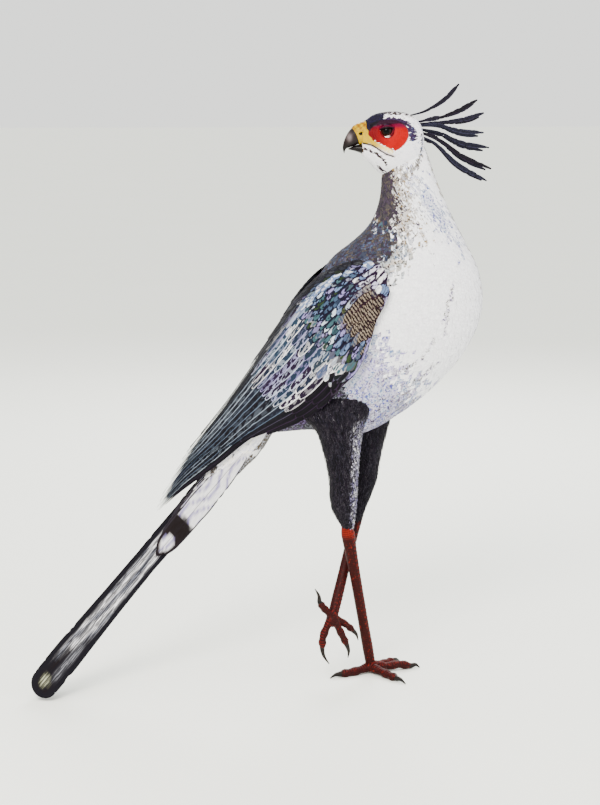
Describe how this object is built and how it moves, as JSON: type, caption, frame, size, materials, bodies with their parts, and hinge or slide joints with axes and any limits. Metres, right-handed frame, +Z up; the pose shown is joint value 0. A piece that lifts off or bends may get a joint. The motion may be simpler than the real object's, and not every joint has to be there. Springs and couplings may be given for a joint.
{
  "type": "secretary bird",
  "caption": "Still model of a long-legged bird of prey with a fanned crest, black thighs and a long tail, standing with a foot lifted and its head turned back.",
  "frame": {"origin": "on the floor, at the middle of the standing foot's sole", "axes": "+X the way the breast points, +Y the bird's left, +Z up"},
  "size_m": [0.9224, 0.2184, 1.1962],
  "materials": {
    "face_feathers": "short soft feathers",
    "pale_feathers": "soft feathers",
    "wing_feathers": "matt feathers",
    "tail_feathers": "matt feathers",
    "dark_feathers": "matt feathers",
    "scaled_skin": "dry scales",
    "bill": "satin horn",
    "claws": "satin horn",
    "eyes": "wet gloss"
  },
  "bodies": {
    "root": {"head": "face_feathers", "bill_upper": "bill", "bill_lower": "bill", "eye_left": "eyes", "eye_right": "eyes", "neck": "pale_feathers", "torso": "pale_feathers", "tail": "tail_feathers", "wing_right": "wing_feathers", "thigh_right": "dark_feathers", "shank_right": "scaled_skin", "foot_right": "scaled_skin", "claw_right_middle": "claws", "claw_right_inner": "claws", "claw_right_outer": "claws", "claw_right_hind": "claws", "wing_left": "wing_feathers", "thigh_left": "dark_feathers", "shank_left": "scaled_skin", "foot_left": "scaled_skin", "claw_left_middle": "claws", "claw_left_inner": "claws", "claw_left_outer": "claws", "claw_left_hind": "claws"}
  },
  "joints": []
}
